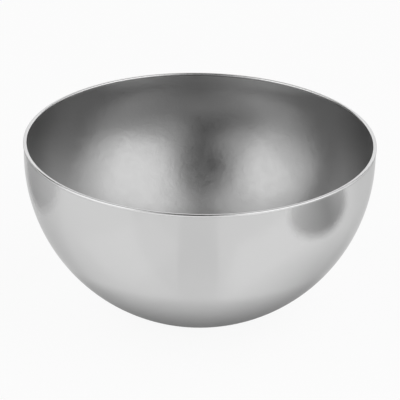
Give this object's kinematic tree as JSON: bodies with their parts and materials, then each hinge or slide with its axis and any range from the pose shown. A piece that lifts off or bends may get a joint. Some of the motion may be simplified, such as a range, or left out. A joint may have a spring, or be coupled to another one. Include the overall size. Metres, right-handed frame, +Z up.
{
  "type": "nut bowl",
  "caption": "Small round double-walled steel bowl for nuts, polished outside and satin inside, with a rounded rim bead and a flat standing ring.",
  "frame": {"origin": "centre of the ring that the bowl stands on, at table level", "axes": "+Z up along the bowl's axis of revolution; X and Y lie in the table's plane"},
  "size_m": [0.12, 0.12, 0.06],
  "materials": {
    "polished_steel": "polished",
    "satin_steel": "satin",
    "plain_steel": "as rolled"
  },
  "bodies": {
    "root": {"outer_shell": "polished_steel", "inner_bowl": "satin_steel", "rim_bead": "polished_steel", "base_plate": "plain_steel", "base_weld": "plain_steel", "vent_plug": "plain_steel"}
  },
  "joints": []
}
